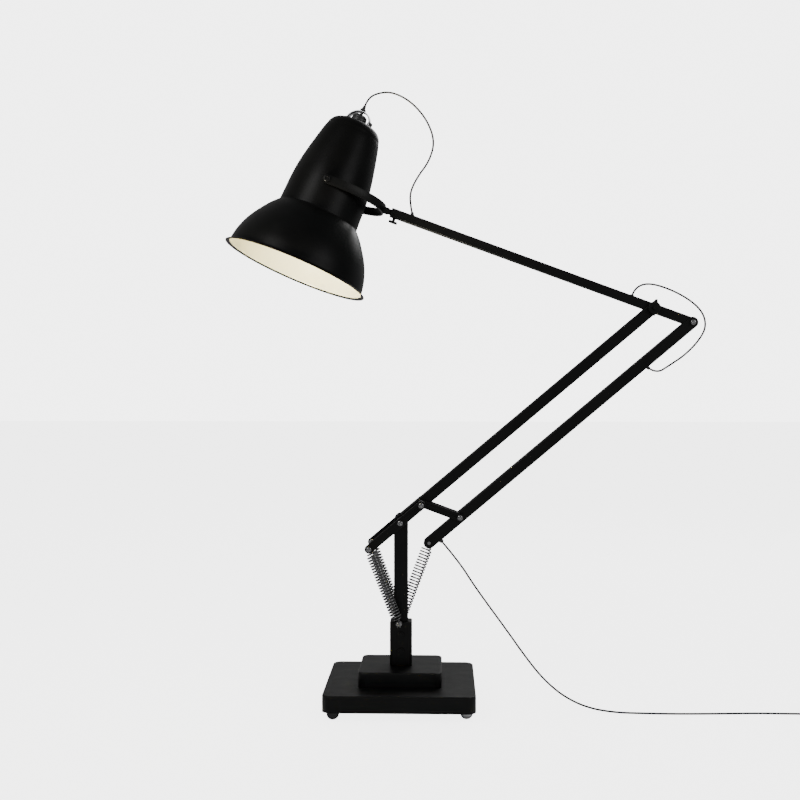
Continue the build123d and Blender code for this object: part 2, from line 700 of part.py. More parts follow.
with BuildPart() as shade_shell:
    with BuildSketch(SHADE_PLANE):
        with BuildLine():
            bell_in = wall(BELL, 2)
            neck_in = wall(NECK, 2)
            top_in = wall(SHOULDER, 2)
            corner = (123.6, 183)
            waist = ((neck_in[-1][0] + top_in[0][0]) / 2, (neck_in[-1][1] + top_in[0][1]) / 2)
            Polyline((224.6, 0.6), (226.6, 0), (226.6, 2), BELL[0])
            Spline(BELL)
            Spline(NECK)
            Spline(SHOULDER)
            Polyline(SHOULDER[-1], (8, 494), (8, 492), (30, 492))
            Spline([(30, 492)] + [p for p in reversed(top_in[1:-1])] + [waist])
            Spline([waist] + [p for p in reversed(neck_in[1:-1])] + [corner])
            Spline([corner] + [p for p in reversed(bell_in[1:-1])] + [(214, 5.4)])
            Line((214, 5.4), (224.6, 0.6))
        make_face()
    revolve(axis=SHADE_AXIS)
    with BuildSketch(Plane(origin=HEAD, z_dir=FORK_SIDE)):
        Circle(4.1)
    extrude(amount=150, both=True, mode=Mode.SUBTRACT)

with BuildPart() as lampholder:
    with BuildSketch(on_axis(412)):
        Circle(24)
    extrude(amount=80)
    with BuildSketch(on_axis(412)):
        Circle(14)
    extrude(amount=34, mode=Mode.SUBTRACT)

with BuildPart() as lampholder_cap:
    with BuildSketch(on_axis(494)):
        Circle(24)
    extrude(amount=14)
    fillet(lampholder_cap.faces().sort_by(SHADE_AXIS)[-1].edges(), 3)

with BuildPart() as cap_bridge:
    with BuildSketch(Plane(origin=on_axis(496).origin, x_dir=SHADE_OUT, z_dir=SHADE_PLANE.z_dir)):
        Ellipse(41, 37)
        Ellipse(38, 34, mode=Mode.SUBTRACT)
        with Locations((0, -50)):
            Rectangle(120, 100, mode=Mode.SUBTRACT)
    extrude(amount=9, both=True)
    with BuildSketch(on_axis(491.9, 41), on_axis(491.9, -41)):
        Circle(6.5)
    extrude(amount=12)
    add(shade_shell.part, mode=Mode.SUBTRACT)
    with BuildSketch(on_axis(520)):
        Circle(5)
    extrude(amount=20, mode=Mode.SUBTRACT)

with BuildPart() as cable_gland:
    with BuildSketch(on_axis(508)):
        Circle(5)
    extrude(amount=30)
    with BuildSketch(on_axis(533)):
        RegularPolygon(8, 6, major_radius=False)
    extrude(amount=7)
    with BuildSketch(on_axis(540)):
        Circle(6)
    extrude(amount=12, taper=8)

with BuildPart() as bulb:
    with BuildSketch(SHADE_PLANE):
        with BuildLine():
            Polyline((0, 442), (13.2, 442), (13.2, 410), (16, 400))
            Spline((16, 400), (31, 366), (34, 346), (24, 318), (0, 308))
            Line((0, 308), (0, 442))
        make_face()
    revolve(axis=SHADE_AXIS)

# ---------------------------------------------------------------- castors
WHEEL_TRAIL = 7.0
WHEEL_SIDE = 5.0
CASTORS = {1: (-1, -1, 190), 2: (1, -1, -17), 3: (1, 1, 35), 4: (-1, 1, 150)}
castor_parts = {}
for number, (sx, sy, heading) in CASTORS.items():
    t = radians(heading)
    lead = Vector(cos(t), sin(t), 0)
    side = Vector(-sin(t), cos(t), 0)
    swivel = Vector(sx * CASTOR_PITCH / 2, sy * CASTOR_PITCH / 2, 0)
    centre = swivel + lead * WHEEL_TRAIL + side * WHEEL_SIDE + Vector(0, 0, WHEEL_R)
    print("castor", number, swivel, "wheel", centre, "axis", side)
    profile = Plane(origin=centre, x_dir=(0, 0, 1), z_dir=lead * -1)
    axle = Axis(centre, side)
    with BuildPart() as castor_hood:
        with BuildSketch(profile):
            with BuildLine():
                Line((0, -17.3), (0, 0))
                Line((0, 0), (17.3, 0))
                ThreePointArc((17.3, 0), (17.3 * cos(pi / 4), -17.3 * sin(pi / 4)), (0, -17.3))
            make_face()
        revolve(axis=axle)
        with BuildSketch(Plane(origin=swivel + Vector(0, 0, 24))):
            Circle(4)
        extrude(amount=40.5)
        with BuildSketch(Plane(origin=swivel + Vector(0, 0, 36))):
            Circle(6)
        extrude(amount=9.9)
        with BuildSketch(Plane(origin=centre, z_dir=side)):
            Circle(3)
        extrude(amount=9)
    with BuildPart() as castor_tyre:
        with BuildSketch(Plane(origin=centre + side * 0.3, z_dir=side)):
            Circle(WHEEL_R)
            Circle(12.5, mode=Mode.SUBTRACT)
        extrude(amount=9.5)
        fillet(castor_tyre.edges().group_by(SortBy.LENGTH)[-1], 2.5)
    with BuildPart() as castor_hub:
        with BuildSketch(Plane(origin=centre + side * 0.3, z_dir=side)):
            Circle(12.5)
        extrude(amount=12)
        fillet(castor_hub.faces().sort_by(Axis(centre, side))[-1].edges(), 2.2)
        with BuildSketch(Plane(origin=centre, z_dir=side)):
            Circle(3.05)
        extrude(amount=9.3, mode=Mode.SUBTRACT)
    castor_parts["castor_hood_%d" % number] = castor_hood
    castor_parts["castor_tyre_%d" % number] = castor_tyre
    castor_parts["castor_hub_%d" % number] = castor_hub


# ---------------------------------------------------------------- cords
def bend_radii(points):
    radii = []
    for i in range(1, len(points) - 1):
        before = Vector(*points[i]) - Vector(*points[i - 1])
        after = Vector(*points[i + 1]) - Vector(*points[i])
        turn = radians(before.get_angle(after))
        radii.append(0.45 * min(before.length, after.length) / tan(turn / 2))
    return radii


def report(name, points, radii, length):
    runs = [(Vector(*points[i + 1]) - Vector(*points[i])).length for i in range(len(points) - 1)]
    ratio = max(max(a, b) / min(a, b) for a, b in zip(runs, runs[1:]))
    print(name, "length", round(length, 1), "radii", [round(r, 1) for r in radii])
    print(name, "runs", [round(r, 1) for r in runs], "largest ratio", round(ratio, 2))


GLAND_TOP = HEAD + SHADE_UP * (552 - PIVOT_S)
HEAD_END = arm_top(HEAD_ENTRY, SMALL_HALF) + HEAD_GLAND * 9
ELBOW_START = arm_top(ELBOW_EXIT, SMALL_HALF + GROMMET)
ELBOW_END = under_bar(ELBOW_ENTRY, 17) + GLAND_AXIS * 8
MAINS_START = under_bar(MAINS_EXIT, 25)
FLOOR_Z = 3.1
COIL = (1246.0, -61.0)
COIL_OUTER = 46.0
COIL_INNER = 33.4
COIL_TOP = 24.9

head_route = [tuple(GLAND_TOP), tuple(GLAND_TOP + SHADE_UP * 25), (-76, 30, 1867), (-30, 26, 1871), (27, 20, 1842),
              (77, 15, 1786), (103, 10, 1717), (86, 7, 1656), (50, 4, 1608), (28, 1, 1563),
              tuple(HEAD_END + HEAD_GLAND * 27), tuple(HEAD_END)]
elbow_route = [tuple(ELBOW_START), tuple(arm_top(ELBOW_EXIT, 39)), (745, 0, 1284), (800, 0, 1271),
               (866, 0, 1239), (913, 0, 1198), (925, 0, 1150), (898, 0, 1104), (858, 0, 1064),
               (813, 0, 1034), tuple(ELBOW_END + GLAND_AXIS * 27), tuple(ELBOW_END)]
mains_route = [tuple(MAINS_START), tuple(under_bar(MAINS_EXIT, 104)), (223, -20, 365),
               (274, -31, 296), (325, -43, 228), (374, -56, 160), (425, -69, 97), (485, -82, 46),
               (556, -95, 14), (636, -107, FLOOR_Z), (720, -114, FLOOR_Z), (806, -117, FLOOR_Z),
               (892, -114, FLOOR_Z), (978, -108, FLOOR_Z), (1062, -102, FLOOR_Z),
               (COIL[0] - 108, COIL[1] - 43, FLOOR_Z), (COIL[0] - 36, COIL[1] - 43, FLOOR_Z)]


def cord(points):
    radii = bend_radii(points)
    with BuildPart() as tube:
        with BuildLine() as path:
            FilletPolyline(points, radius=radii)
        with BuildSketch(Plane(origin=path.line @ 0, z_dir=path.line % 0)):
            Circle(CORD / 2)
        sweep()
    return tube.part, radii, sum(e.length for e in path.line.edges())


with BuildPart() as head_cable:
    tube, radii, length = cord(head_route)
    add(tube)
report("head_cable", head_route, radii, length)

with BuildPart() as elbow_cable:
    tube, radii, length = cord(elbow_route)
    add(tube)
report("elbow_cable", elbow_route, radii, length)

with BuildPart() as mains_cable:
    tube, radii, length = cord(mains_route)
    add(tube)
report("mains_cable", mains_route, radii, length)

PLUG = Vector(COIL[0] + 41, COIL[1] + 92, 13)
tail_route = [(COIL[0] + 42, COIL[1] - 6, 21), (COIL[0] + 42, COIL[1] + 34, 21),
              (COIL[0] + 41, COIL[1] + 72, 13), tuple(PLUG)]
tail, radii, length = cord(tail_route)
report("coil tail", tail_route, radii, length)

with BuildPart() as mains_coil:
    with BuildSketch(Plane(origin=(COIL[0], COIL[1], 0), x_dir=(1, 0, 0), z_dir=(0, -1, 0))):
        with Locations(((COIL_INNER + COIL_OUTER) / 2, COIL_TOP / 2 + 0.15)):
            RectangleRounded(COIL_OUTER - COIL_INNER, COIL_TOP - 0.3, 3.1)
    revolve(axis=Axis((COIL[0], COIL[1], 0), (0, 0, 1)))
    with BuildSketch(Plane(origin=(COIL[0] - 36, COIL[1] - 43, FLOOR_Z), z_dir=(1, 0, 0))):
        Circle(CORD / 2)
    extrude(amount=36)
    add(tail)


def plug_plane(distance):
    return Plane(origin=PLUG + Vector(0, distance, 0), x_dir=(1, 0, 0), z_dir=(0, 1, 0))


with BuildPart() as mains_plug:
    with BuildSketch(plug_plane(0)):
        Circle(5)
    extrude(amount=14, taper=-6)
    with BuildSketch(plug_plane(12)):
        RectangleRounded(34, 25.6, 8)
    extrude(amount=32)
    fillet(mains_plug.faces().sort_by(Axis.Y)[-1].edges(), 2)
    with BuildSketch(plug_plane(40)):
        with Locations((9.5, 0), (-9.5, 0)):
            Circle(2)
    extrude(amount=23)

for builder, name in [
        (base_plate, "base_plate"), (base_step, "base_step"), (ballast_plate, "ballast_plate"),
        (base_screws, "base_screws"), (castor_sockets, "castor_sockets"),
        (swivel_bush, "swivel_bush"), (mast_bracket, "mast_bracket"), (mast, "mast"),
        (swivel_spindle, "swivel_spindle"), (spindle_nut, "spindle_nut"),
        (bracket_bolts, "bracket_bolts"), (spring_anchor_shaft, "spring_anchor_shaft"),
        (spring_near, "spring_near"), (spring_far, "spring_far"), (spring_rear, "spring_rear"),
        (lower_arm_tube, "lower_arm_tube"), (yoke_plates, "yoke_plates"),
        (mast_pivot_shaft, "mast_pivot_shaft"), (link_pivot_shaft, "link_pivot_shaft"),
        (spring_pins, "spring_pins"), (yoke_spacers, "yoke_spacers"),
        (elbow_bolt, "elbow_bolt"), (elbow_wing_nut, "elbow_wing_nut"),
        (upper_arm_tube, "upper_arm_tube"), (upper_arm_bushes, "upper_arm_bushes"),
        (upper_arm_plug, "upper_arm_plug"), (upper_arm_grommets, "upper_arm_grommets"),
        (thumb_screw, "thumb_screw"), (rear_bar_tube, "rear_bar_tube"),
        (rear_bar_grommets, "rear_bar_grommets"), (tail_pivot_bolt, "tail_pivot_bolt"),
        (link_end_bolt, "link_end_bolt"), (rear_spring_pin, "rear_spring_pin"),
        (link_plates, "link_plates"), (head_fork, "head_fork"),
        (fork_pivot_screws, "fork_pivot_screws"), (shade_shell, "shade_shell"),
        (lampholder, "lampholder"), (lampholder_cap, "lampholder_cap"),
        (cap_bridge, "cap_bridge"), (cable_gland, "cable_gland"), (bulb, "bulb"),
        (head_cable, "head_cable"), (elbow_cable, "elbow_cable"), (mains_cable, "mains_cable"),
        (mains_coil, "mains_coil"), (mains_plug, "mains_plug")] + [
        (part, name) for name, part in castor_parts.items()]:
    save(builder, name)
    box = builder.part.bounding_box()
    print(name, len(builder.part.solids()), builder.part.is_valid, round(builder.part.volume),
          [round(v, 1) for v in (box.min.X, box.min.Y, box.min.Z, box.max.X, box.max.Y, box.max.Z)])
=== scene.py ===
import json
from math import cos, pi, radians, sin, sqrt

import bmesh
import bpy
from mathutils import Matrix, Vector


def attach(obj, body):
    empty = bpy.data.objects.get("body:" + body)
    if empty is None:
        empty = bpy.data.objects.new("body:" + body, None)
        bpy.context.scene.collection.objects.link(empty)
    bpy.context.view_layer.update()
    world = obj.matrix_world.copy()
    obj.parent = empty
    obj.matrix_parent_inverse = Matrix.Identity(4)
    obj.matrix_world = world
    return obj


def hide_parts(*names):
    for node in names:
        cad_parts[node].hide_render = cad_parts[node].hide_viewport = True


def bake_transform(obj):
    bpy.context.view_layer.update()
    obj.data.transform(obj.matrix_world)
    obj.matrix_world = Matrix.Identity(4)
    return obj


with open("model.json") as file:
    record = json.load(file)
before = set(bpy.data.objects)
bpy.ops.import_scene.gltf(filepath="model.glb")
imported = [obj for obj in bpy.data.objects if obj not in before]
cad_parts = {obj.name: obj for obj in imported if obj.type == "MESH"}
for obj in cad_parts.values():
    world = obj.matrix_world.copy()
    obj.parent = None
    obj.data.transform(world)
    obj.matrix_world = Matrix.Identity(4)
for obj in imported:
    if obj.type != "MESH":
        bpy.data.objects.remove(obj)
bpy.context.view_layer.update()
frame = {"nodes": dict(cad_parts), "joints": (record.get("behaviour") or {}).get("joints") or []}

NODES = frame["nodes"]
JOINTS = {j["name"]: j for j in frame["joints"]}

# directions along and above the lower arm and the upper arm
LOWER_ANGLE = radians(40.2)
TAIL_ANGLE = radians(-20.2)
BAR = Vector((cos(LOWER_ANGLE), 0, sin(LOWER_ANGLE)))
BAR_UP = Vector((-sin(LOWER_ANGLE), 0, cos(LOWER_ANGLE)))
ARM = Vector((cos(TAIL_ANGLE), 0, sin(TAIL_ANGLE)))
ARM_UP = Vector((-sin(TAIL_ANGLE), 0, cos(TAIL_ANGLE)))

# pivots, in metres
YOKE_DOWN = 0.123        # mast pivot to the side springs' pins
LINK_UP = 0.082          # mast pivot to the link's pivot
TAIL_LENGTH = 0.125      # lower arm to rear bar
MAST_PIVOT = Vector(JOINTS["lower_arm_pivot"]["pos_m"])
ELBOW = Vector(JOINTS["elbow"]["pos_m"])
HEAD = Vector(JOINTS["shade_tilt"]["pos_m"])
TAIL_PIVOT = Vector(JOINTS["rear_bar_pivot"]["pos_m"])
LINK_END = Vector(JOINTS["link_pivot"]["pos_m"])
LINK_TOP = MAST_PIVOT + BAR * LINK_UP
SPRING_TOP = MAST_PIVOT - BAR * YOKE_DOWN
SPRING_FOOT = Vector((-0.005, 0, 0.25))
REAR_FOOT = MAST_PIVOT + BAR * (LINK_UP - YOKE_DOWN) + ARM * TAIL_LENGTH

# the shade's own directions; heights on the shade are measured from its rim
PIVOT_S = 0.2686         # height of the tilt pivot
SHADE_LEAN = radians(2.3)
FORK_SIDE = Vector(JOINTS["shade_tilt"]["axis"]).normalized()
FORK_UP = ARM.cross(FORK_SIDE)
SHADE_UP = (FORK_UP * cos(SHADE_LEAN) + ARM * sin(SHADE_LEAN)).normalized()
SHADE_OUT = (ARM * cos(SHADE_LEAN) - FORK_UP * sin(SHADE_LEAN)).normalized()
RIM = HEAD - SHADE_UP * PIVOT_S


# ------------------------------------------------------------------ materials
class Shader:
    """One material's node tree, filled by small calls."""

    def __init__(self, name):
        self.material = bpy.data.materials.new(name)
        self.material.use_nodes = True
        self.tree = self.material.node_tree
        self.shader = self.tree.nodes["Principled BSDF"]
        self.coords = self.tree.nodes.new("ShaderNodeTexCoord").outputs["Object"]

    def set(self, **values):
        for name, value in values.items():
            self.shader.inputs[name.replace("_", " ")].default_value = value

    def noise(self, scale, detail=4.0, rough=0.55):
        node = self.tree.nodes.new("ShaderNodeTexNoise")
        node.inputs["Scale"].default_value = scale
        node.inputs["Detail"].default_value = detail
        node.inputs["Roughness"].default_value = rough
        self.tree.links.new(self.coords, node.inputs["Vector"])
        return node.outputs["Fac"]

    def ramp(self, factor, low, high, start=0.3, end=0.7):
        node = self.tree.nodes.new("ShaderNodeValToRGB")
        node.color_ramp.elements[0].position = start
        node.color_ramp.elements[0].color = low
        node.color_ramp.elements[1].position = end
        node.color_ramp.elements[1].color = high
        self.tree.links.new(factor, node.inputs["Fac"])
        return node.outputs["Color"]

    def spread(self, factor, low, high):
        node = self.tree.nodes.new("ShaderNodeMapRange")
        node.inputs["To Min"].default_value = low
        node.inputs["To Max"].default_value = high
        self.tree.links.new(factor, node.inputs["Value"])
        return node.outputs["Result"]

    def bump(self, height, strength, distance):
        node = self.tree.nodes.new("ShaderNodeBump")
        node.inputs["Strength"].default_value = strength
        node.inputs["Distance"].default_value = distance
        self.tree.links.new(height, node.inputs["Height"])
        self.tree.links.new(node.outputs["Normal"], self.shader.inputs["Normal"])

    def link(self, output, name):
        self.tree.links.new(output, self.shader.inputs[name])


def grey(value, tint=0.0):
    return (value, value, value * (1 + tint), 1)


def paint(name, tone, rough, dust, gloss, grain=900):
    """Sprayed or powder-coated metal: fine orange peel, uneven gloss and a little settled dust."""
    s = Shader(name)
    dusty = grey(tone * 1.7 + dust, tint=0.03)
    s.link(s.ramp(s.noise(scale=9, detail=6), grey(tone), dusty, start=0.42, end=0.72), "Base Color")
    s.link(s.spread(s.noise(scale=23, detail=5), rough - 0.06, rough + 0.10), "Roughness")
    s.bump(s.noise(grain, detail=2, rough=0.5), strength=0.12, distance=0.0004)
    s.set(Specular_IOR_Level=gloss)
    return s.material


def metal(name, tone, rough, scale, wear=0.12):
    """Plated or bare metal with faint polishing marks."""
    s = Shader(name)
    s.set(Metallic=1.0)
    worn, clean = grey(tone * (1 - wear), tint=0.02), grey(tone, tint=0.02)
    s.link(s.ramp(s.noise(scale=60, detail=5), worn, clean), "Base Color")
    s.link(s.spread(s.noise(scale, detail=6, rough=0.6), rough * 0.7, rough * 1.5), "Roughness")
    s.bump(s.noise(scale * 2, detail=3, rough=0.6), strength=0.06, distance=0.0002)
    return s.material


def plastic(name, tone, rough, grain=1400, bump=0.15):
    """Moulded plastic or rubber with a fine grain."""
    s = Shader(name)
    s.link(s.ramp(s.noise(scale=40, detail=5), grey(tone), grey(tone * 1.8)), "Base Color")
    s.link(s.spread(s.noise(scale=120, detail=4), rough - 0.05, rough + 0.1), "Roughness")
    s.bump(s.noise(grain, detail=3), bump, distance=0.0003)
    return s.material


def cast(name):
    """Rough cast iron."""
    s = Shader(name)
    s.link(s.ramp(s.noise(scale=25, detail=8), grey(0.02), grey(0.07, tint=0.05)), "Base Color")
    s.link(s.spread(s.noise(scale=60, detail=4), 0.6, 0.85), "Roughness")
    s.bump(s.noise(scale=160, detail=8, rough=0.7), strength=0.5, distance=0.001)
    return s.material


def brass(name):
    """Dull brass with brighter patches."""
    s = Shader(name)
    s.set(Metallic=1.0)
    dull, bright = (0.10, 0.065, 0.025, 1), (0.17, 0.115, 0.045, 1)
    s.link(s.ramp(s.noise(scale=70, detail=6), dull, bright), "Base Color")
    s.link(s.spread(s.noise(scale=200, detail=4), 0.22, 0.42), "Roughness")
    s.bump(s.noise(scale=700, detail=3), strength=0.08, distance=0.0002)
    return s.material


def enamel_white(name):
    """Inside of the shade: warm white enamel whose tone shifts at random between a yellower and a paler
    cream.
    """
    s = Shader(name)
    yellower, paler = (0.87, 0.82, 0.56, 1), (0.91, 0.87, 0.66, 1)
    s.link(s.ramp(s.noise(scale=7, detail=5), yellower, paler), "Base Color")
    s.link(s.spread(s.noise(scale=30, detail=4), 0.3, 0.45), "Roughness")
    s.bump(s.noise(scale=600, detail=2), strength=0.1, distance=0.0003)
    return s.material


def frosted(name):
    """Frosted glass that glows warm, as the lit bulb does."""
    s = Shader(name)
    s.set(Transmission_Weight=0.35, IOR=1.45, Emission_Color=(1.0, 0.93, 0.78, 1), Emission_Strength=20.0)
    dim, pale = (0.86, 0.85, 0.80, 1), (0.93, 0.92, 0.88, 1)
    s.link(s.ramp(s.noise(scale=30, detail=4), dim, pale), "Base Color")
    s.link(s.spread(s.noise(scale=300, detail=3), 0.3, 0.45), "Roughness")
    s.bump(s.noise(scale=2500, detail=2), strength=0.08, distance=0.0001)
    return s.material


def jacket(name):
    """Moulded black flex."""
    s = Shader(name)
    s.link(s.ramp(s.noise(scale=50, detail=5), grey(0.006), grey(0.016)), "Base Color")
    s.link(s.spread(s.noise(scale=90, detail=4), 0.38, 0.55), "Roughness")
    s.bump(s.noise(scale=900, detail=3), strength=0.15, distance=0.0002)
    s.set(IOR=1.45)
    return s.material


BLACK = paint("black_powder_coat", 0.0012, 0.38, dust=0.0006, gloss=0.17)
SHADE_BLACK = paint("shade_black_gloss", 0.0010, 0.36, dust=0.0005, gloss=0.11, grain=700)
CHROME = metal("polished_chrome", 0.40, 0.10, scale=120)
# polished chrome given a darker colour: painted shade standing in for the dark surroundings that the pivot
# heads reflect
SHADED_CHROME = metal("chrome_with_painted_shade", 0.20, 0.13, scale=160)
STEEL = metal("zinc_plated_steel", 0.50, 0.26, scale=260)
WIRE = metal("spring_wire", 0.17, 0.18, scale=500, wear=0.3)
CAST = cast("cast_iron_ballast")
BRASS = brass("brass_bush")
TYRE = plastic("tyre_rubber", 0.010, 0.6, grain=700, bump=0.3)
PLASTIC = plastic("black_plastic", 0.008, 0.42)
CORD = jacket("black_flex")
WHITE = enamel_white("shade_white_enamel")
GLASS = frosted("frosted_glass")

NODE_MATERIALS = {
    BLACK: ["base_plate", "base_step", "mast_bracket", "mast", "lower_arm_tube", "upper_arm_tube",
            "rear_bar_tube", "yoke_plates", "link_plates", "head_fork", "bracket_bolts",
            "elbow_wing_nut", "thumb_screw", "fork_pivot_screws", "elbow_bolt"],
    SHADE_BLACK: ["shade_shell"],
    CAST: ["ballast_plate"],
    STEEL: ["base_screws", "spindle_nut", "spring_anchor_shaft", "swivel_spindle",
            "castor_sockets", "yoke_spacers"],
    # pivot ends in chrome darkened as painted shade, for the dark surroundings they reflect
    SHADED_CHROME: ["mast_pivot_shaft", "link_pivot_shaft", "spring_pins", "cap_bridge", "tail_pivot_bolt",
                  "link_end_bolt", "rear_spring_pin"],
    CHROME: ["castor_hood_1", "castor_hood_2", "castor_hood_3", "castor_hood_4"],
    WIRE: ["spring_near", "spring_far", "spring_rear"],
    BRASS: ["swivel_bush", "upper_arm_bushes"],
    TYRE: ["castor_tyre_1", "castor_tyre_2", "castor_tyre_3", "castor_tyre_4"],
    PLASTIC: ["upper_arm_plug", "upper_arm_grommets", "rear_bar_grommets", "lampholder",
              "lampholder_cap", "cable_gland", "mains_plug", "castor_hub_1", "castor_hub_2",
              "castor_hub_3", "castor_hub_4"],
    CORD: ["head_cable", "elbow_cable", "mains_cable", "mains_coil"],
    GLASS: ["bulb"],
}
SMALL_EDGE = 0.0004
EDGE_WIDTH = {"base_plate": 0.0012, "base_step": 0.0012, "mast_bracket": 0.0012, "mast": 0.0007,
              "yoke_plates": 0.0005, "link_plates": 0.0005, "head_fork": 0.001}
EDGE_ANGLE = radians(32)
SAME_POINT = 0.00002


def finish_node(o, material, width):
    """A CAD node's material, with its doubled points joined and its real edges slightly rounded."""
    o.data.materials.clear()
    o.data.materials.append(material)
    weld = o.modifiers.new("weld", "WELD")
    weld.merge_threshold = SAME_POINT
    bevel = o.modifiers.new("edges", "BEVEL")
    bevel.width = width
    bevel.segments = 2
    bevel.limit_method = "ANGLE"
    bevel.angle_limit = EDGE_ANGLE


for material, names in NODE_MATERIALS.items():
    for name in names:
        finish_node(NODES[name], material, EDGE_WIDTH.get(name, SMALL_EDGE))


# ------------------------------------------------------------------ mesh helpers
def place_object(name, data):
    o = bpy.data.objects.new(name, data)
    bpy.context.scene.collection.objects.link(o)
    return o


def skin(rings, sides):
    """Faces over a row of rings of points, with one face across each end."""
    faces = []
    for i in range(rings - 1):
        for k in range(sides):
            a, b = i * sides + k, i * sides + (k + 1) % sides
            faces.append((a, b, b + sides, a + sides))
    faces.append(tuple(reversed(range(sides))))
    faces.append(tuple(range((rings - 1) * sides, rings * sides)))
    return faces


def skinned(name, vertices, sides, material):
    """Smooth closed piece over rings of points."""
    mesh = bpy.data.meshes.new(name)
    mesh.from_pydata([tuple(v) for v in vertices], [], skin(len(vertices) // sides, sides))
    mesh.validate()
    mesh.update()
    for polygon in mesh.polygons:
        polygon.use_smooth = True
    mesh.materials.append(material)
    return place_object(name, mesh)


def tube(name, path, radius, material, sides):
    """Round wire swept along points with a frame that doesn't twist."""
    vertices = []
    normal = None
    for i, p in enumerate(path):
        tangent = (path[min(i + 1, len(path) - 1)] - path[max(i - 1, 0)]).normalized()
        if normal is None:
            normal = tangent.orthogonal().normalized()
        normal = (normal - tangent * normal.dot(tangent)).normalized()
        other = tangent.cross(normal)
        for k in range(sides):
            a = 2 * pi * k / sides
            vertices.append(p + normal * radius * cos(a) + other * radius * sin(a))
    return skinned(name, vertices, sides, material)


def lathe(name, profile, origin, axis, material, steps):
    """Line of (radius, height) points turned about an axis; a radius of 0 makes a pole."""
    axis = axis.normalized()
    across = axis.orthogonal().normalized()
    other = axis.cross(across)
    mesh = bmesh.new()
    rings = []
    for r, h in profile:
        if r == 0:
            rings.append([mesh.verts.new(origin + axis * h)] * steps)
            continue
        ring = []
        for k in range(steps):
            a = 2 * pi * k / steps
            ring.append(mesh.verts.new(origin + axis * h + (across * cos(a) + other * sin(a)) * r))
        rings.append(ring)
    for low, high in zip(rings, rings[1:]):
        for k in range(steps):
            corners = [low[k], low[(k + 1) % steps], high[(k + 1) % steps], high[k]]
            unique = list(dict.fromkeys(corners))
            if len(unique) > 2:
                mesh.faces.new(unique)
    bmesh.ops.recalc_face_normals(mesh, faces=mesh.faces)
    for face in mesh.faces:
        face.smooth = True
    data = bpy.data.meshes.new(name)
    mesh.to_mesh(data)
    mesh.free()
    data.materials.append(material)
    return place_object(name, data)


def clamped(value):
    return min(max(value, 0.0), 1.0)


def eased(value):
    value = clamped(value)
    return value * value * (3 - 2 * value)


# ------------------------------------------------------------------ camera
camera_data = bpy.data.cameras.new("camera")
camera_data.lens = 57.3
camera_data.sensor_width = 36
camera_data.clip_start = 0.05
camera_data.clip_end = 60
camera = place_object("camera", camera_data)
camera.location = (0.125, -3.886, 1.023)
camera.rotation_euler = (radians(88.61), 0, radians(1.89))
bpy.context.scene.camera = camera


# ------------------------------------------------------------------ cords
REPEAT = 0.00001         # points nearer than this are the same one


def route_line(name, points):
    """Points read off the smooth line that the route's control points make."""
    data = bpy.data.curves.new(name, "CURVE")
    data.dimensions = "3D"
    data.resolution_u = 10
    spline = data.splines.new("NURBS")
    spline.points.add(len(points) - 1)
    for p, point in zip(points, spline.points):
        point.co = (p[0], p[1], p[2], 1)
    spline.order_u = 3
    spline.use_endpoint_u = True
    o = place_object(name, data)
    bpy.context.view_layer.update()
    line = bpy.data.meshes.new_from_object(o.evaluated_get(bpy.context.evaluated_depsgraph_get()))
    places = [v.co.copy() for v in line.vertices]
    bpy.data.meshes.remove(line)
    bpy.data.objects.remove(o)
    bpy.data.curves.remove(data)
    return [p for i, p in enumerate(places) if i == 0 or (p - places[i - 1]).length > REPEAT]


def length_of(line):
    return sum((b - a).length for a, b in zip(line, line[1:]))


def arm_top(distance, height):
    """A place at a distance from the elbow towards the head, above the upper arm's centre line."""
    return ELBOW - ARM * distance + ARM_UP * height


def under_bar(distance, depth):
    """A place at a distance up the rear bar from its foot, below the bar's centre line."""
    return REAR_FOOT + BAR * distance - BAR_UP * depth


CORD_R = 0.003
ARM_HALF = 0.014         # half of the upper arm's tube
BAR_HALF = 0.017         # half of the rear bar's tube
HEAD_ENTRY = 0.7816      # glands in the upper arm, measured from the elbow
ELBOW_EXIT = 0.0726
ELBOW_ENTRY = 0.8508     # glands in the rear bar, measured from its foot
MAINS_EXIT = 0.032
GROMMET = 0.0025         # how far each kind of gland stands out of its tube
HEAD_GLAND_OUT = 0.009
REAR_GLAND_OUT = 0.008
GLAND_RUN = 0.027        # from a cord's end to the next point of its route
GLAND_S = 0.552          # top of the shade's cable gland
HEAD_GLAND = Vector((-0.2, 0, 0.98))
GLAND_AXIS = Vector((cos(radians(-31)), 0, sin(radians(-31))))
GLAND_TOP = HEAD + SHADE_UP * (GLAND_S - PIVOT_S)
HEAD_END = arm_top(HEAD_ENTRY, ARM_HALF) + HEAD_GLAND * HEAD_GLAND_OUT
ELBOW_START = arm_top(ELBOW_EXIT, ARM_HALF + GROMMET)
ELBOW_END = under_bar(ELBOW_ENTRY, BAR_HALF) + GLAND_AXIS * REAR_GLAND_OUT
MAINS_START = under_bar(MAINS_EXIT, BAR_HALF + REAR_GLAND_OUT)
FLOOR_Z = 0.0031         # middle of a cord that lies on the floor
COIL = Vector((1.246, -0.061, 0))
COIL_OUTER, COIL_INNER = 0.0443, 0.0377
LAYER_RISE = 0.0063
PER_TURN = 12
LAYER_STEPS = [2 * PER_TURN, 2 * PER_TURN, 2 * PER_TURN, PER_TURN + 4]

